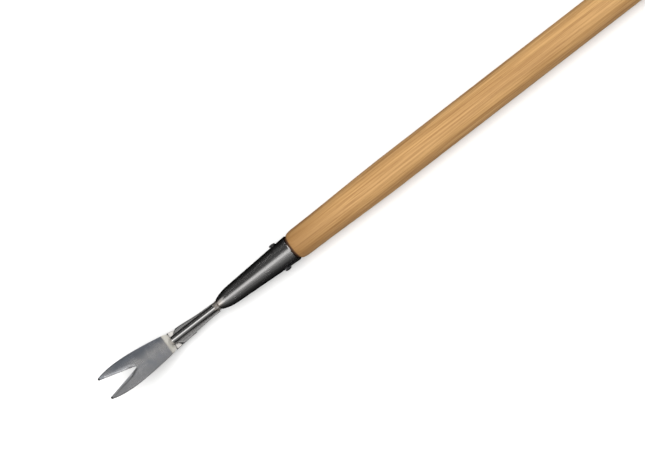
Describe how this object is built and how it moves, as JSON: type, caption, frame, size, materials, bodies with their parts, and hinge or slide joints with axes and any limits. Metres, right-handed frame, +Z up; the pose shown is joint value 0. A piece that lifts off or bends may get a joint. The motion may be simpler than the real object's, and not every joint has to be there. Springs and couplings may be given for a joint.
{
  "type": "long-handled forked weeder",
  "caption": "Forked stainless weeding blade with a fulcrum plate and a pointed neck plate, on a round neck rod and tapered socket riveted to a long straight ash handle.",
  "frame": {"origin": "middle of the bounding box, on the ground that the tool lies on", "axes": "+X along the handle towards its butt, +Y across the blade, +Z up, out of the blade's upper face"},
  "size_m": [1.0024, 0.032, 0.0363],
  "materials": {
    "ash_wood": "oiled satin",
    "polished_steel": "polished",
    "blade_steel": "satin",
    "rivet_steel": "dull",
    "weld_metal": "as welded, lightly brushed, with a straw heat tint"
  },
  "bodies": {
    "root": {"handle": "ash_wood", "socket": "polished_steel", "rivet": "rivet_steel", "neck_rod": "polished_steel", "blade": "blade_steel", "fulcrum_plate": "polished_steel", "neck_plate": "polished_steel", "nose_weld": "weld_metal", "rod_weld": "weld_metal", "heel_weld": "weld_metal", "point_weld": "weld_metal"}
  },
  "joints": []
}
